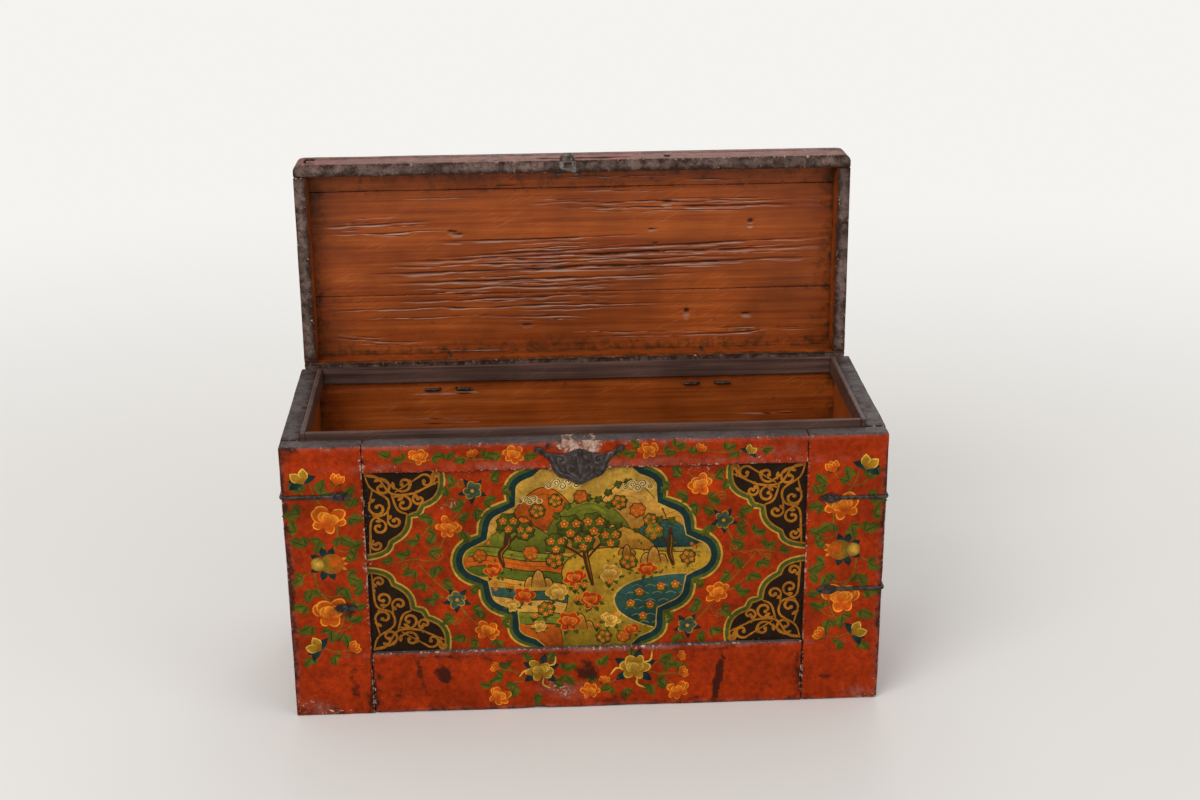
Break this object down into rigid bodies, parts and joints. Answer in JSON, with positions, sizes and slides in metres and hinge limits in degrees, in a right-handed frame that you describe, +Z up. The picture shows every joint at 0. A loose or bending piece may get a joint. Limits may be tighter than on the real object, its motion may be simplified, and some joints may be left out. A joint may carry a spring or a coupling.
{
  "type": "painted chest",
  "caption": "Free-standing wooden chest with a painted frame-and-panel front, hinged lid, raised rim lip, iron lock plate, hasp and corner straps.",
  "frame": {"origin": "centre of the underside, on the middle floor board", "axes": "+X along the chest's width to its right as seen from the front, +Y from the painted front to the back, +Z up"},
  "size_m": [0.6676, 0.3564, 0.573],
  "materials": {
    "painted_front": "red lacquer with painted flowers, worn at the edges",
    "worn_lacquer": "old red-brown lacquer over pine, worn",
    "old_pine": "bare aged pine",
    "rim_wood": "dark handled wood",
    "wrought_iron": "dark forged iron, rubbed bright on the high spots"
  },
  "bodies": {
    "chest": {"front_left_stile": "painted_front", "front_right_stile": "painted_front", "front_top_rail": "painted_front", "front_bottom_rail": "painted_front", "front_panel": "painted_front", "left_end_lower_board": "worn_lacquer", "left_end_upper_board": "worn_lacquer", "right_end_lower_board": "worn_lacquer", "right_end_upper_board": "worn_lacquer", "back_lower_board": "worn_lacquer", "back_upper_board": "worn_lacquer", "floor_board_front": "old_pine", "floor_board_middle": "old_pine", "floor_board_back": "old_pine", "rim_lip_front": "rim_wood", "rim_lip_back": "rim_wood", "rim_lip_left": "rim_wood", "rim_lip_right": "rim_wood", "back_nails": "wrought_iron", "floor_nails": "wrought_iron", "lock_plate": "wrought_iron", "lock_plate_nails": "wrought_iron", "lock_staple": "wrought_iron", "corner_strap_left_upper": "wrought_iron", "corner_strap_right_upper": "wrought_iron", "corner_strap_right_lower": "wrought_iron", "corner_strap_left_lower_end": "wrought_iron", "strap_nails": "wrought_iron", "hinge_staple_left": "wrought_iron", "hinge_staple_right": "wrought_iron"},
    "lid": {"lid_front_rail": "worn_lacquer", "lid_back_rail": "worn_lacquer", "lid_left_rail": "worn_lacquer", "lid_right_rail": "worn_lacquer", "lid_board_front": "worn_lacquer", "lid_board_middle": "worn_lacquer", "lid_board_back": "worn_lacquer", "lid_eye_pin_left": "wrought_iron", "lid_eye_pin_right": "wrought_iron", "lid_nails": "wrought_iron", "lid_front_nail": "wrought_iron", "lid_bent_nail": "wrought_iron", "hasp_staple": "wrought_iron"},
    "hasp": {"hasp_tongue": "wrought_iron"}
  },
  "joints": [
    {"name": "lid_swing", "type": "hinge", "parent": "chest", "child": "lid", "pos_m": [0, 0.1338, 0.304], "axis": [1, 0, 0], "range_deg": [0, 92]},
    {"name": "hasp_swing", "type": "hinge", "parent": "lid", "child": "hasp", "pos_m": [-0.007, 0.17048, 0.56918], "axis": [1, 0, 0], "range_deg": [-54, 0]}
  ],
  "couplings": [
    {"joint": "hasp_swing", "follows": "lid_swing", "ratio": -0.58696}
  ]
}
